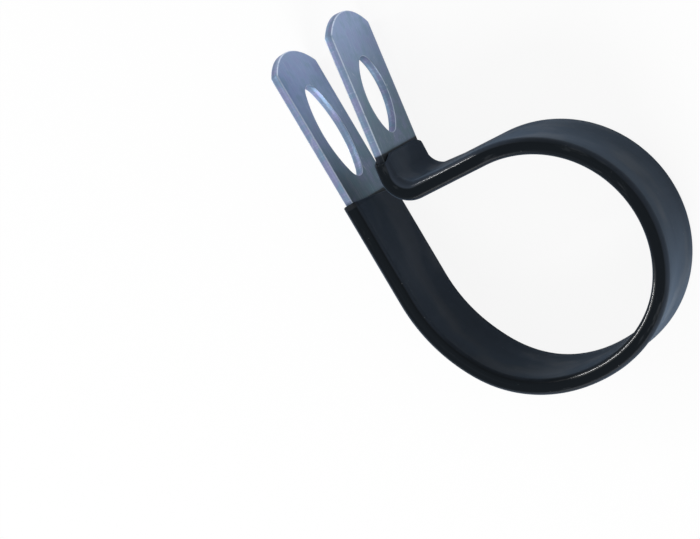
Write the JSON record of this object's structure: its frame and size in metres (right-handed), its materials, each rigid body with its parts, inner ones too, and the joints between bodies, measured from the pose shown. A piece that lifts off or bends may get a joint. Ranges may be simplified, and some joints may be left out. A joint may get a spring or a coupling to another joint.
{
  "type": "cushioned loop clamp",
  "caption": "P-shaped cable clip: a flat steel strip bent into a loop with two slotted mounting tabs, with a black vinyl sleeve over the loop.",
  "frame": {"origin": "on the axis of the loop's gripping circle, halfway across the strip", "axes": "+Z along the loop's axis, which stands upright while the clip lies on its edge; the long mounting tab leaves the loop towards -X, and its mounting face looks towards -Y"},
  "size_m": [0.0568, 0.0353, 0.0134],
  "materials": {
    "zinc_steel": "dull zinc plating with a faint blue cast",
    "black_vinyl": "smooth soft vinyl with a satin sheen"
  },
  "bodies": {
    "root": {"steel_band": "zinc_steel", "vinyl_sleeve": "black_vinyl"}
  },
  "joints": []
}
